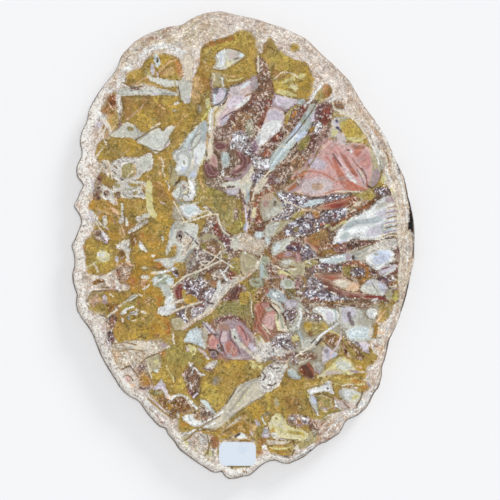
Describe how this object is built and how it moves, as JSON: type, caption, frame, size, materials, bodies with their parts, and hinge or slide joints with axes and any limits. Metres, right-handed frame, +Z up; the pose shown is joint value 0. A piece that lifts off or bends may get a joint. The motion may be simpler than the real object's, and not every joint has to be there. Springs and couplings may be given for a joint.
{
  "type": "petrified wood slice",
  "caption": "Flat polished slice of agatized petrified wood with a rough pale bark rim, a sawn back to rest on and a small blank paper label.",
  "frame": {"origin": "on the supporting surface, under the middle of the slice's outline", "axes": "+Z up out of the polished face, +Y along the longest way across the cut, +X across it"},
  "size_m": [0.1826, 0.249, 0.012],
  "materials": {
    "polished_petrified_wood": "polished",
    "label_paper": "matte"
  },
  "bodies": {
    "root": {"petrified_wood_slice": "polished_petrified_wood", "paper_label": "label_paper"}
  },
  "joints": []
}
